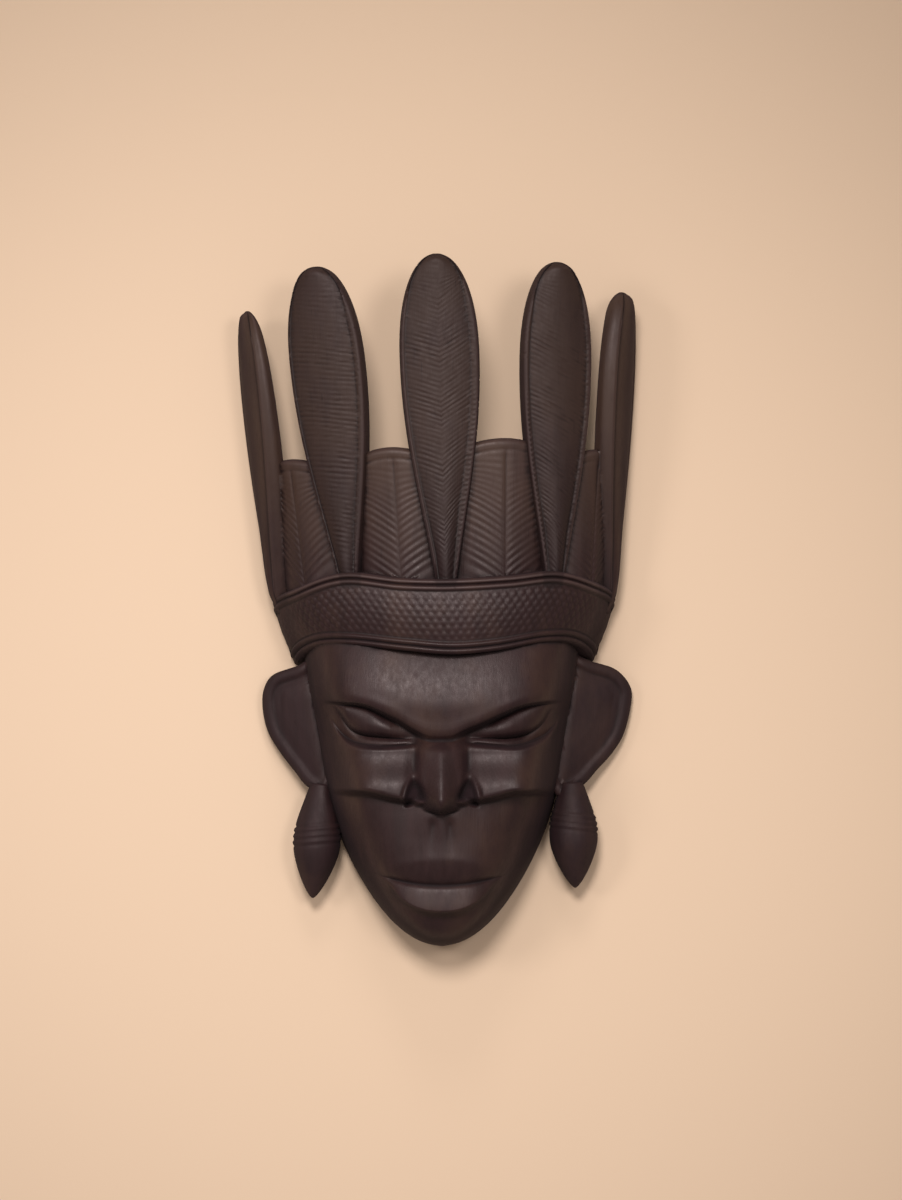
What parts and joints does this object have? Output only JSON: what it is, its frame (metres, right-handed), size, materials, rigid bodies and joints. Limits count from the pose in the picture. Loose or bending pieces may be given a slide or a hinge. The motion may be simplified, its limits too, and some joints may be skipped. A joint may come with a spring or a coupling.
{
  "type": "wooden mask",
  "caption": "Carved dark wooden face mask with a crown of upright feathers, a headband, large ears and pendant earrings, hollow at the back.",
  "frame": {"origin": "middle of the mask's outline on the surface that it lies on, at the level of its back rim", "axes": "+X to the right as the viewer sees the face, +Y along the mask to the feather tips, +Z out of the face"},
  "size_m": [0.2648, 0.4574, 0.0979],
  "materials": {
    "wood": "dark stained and waxed, satin"
  },
  "bodies": {
    "root": {"mask": "wood"}
  },
  "joints": []
}
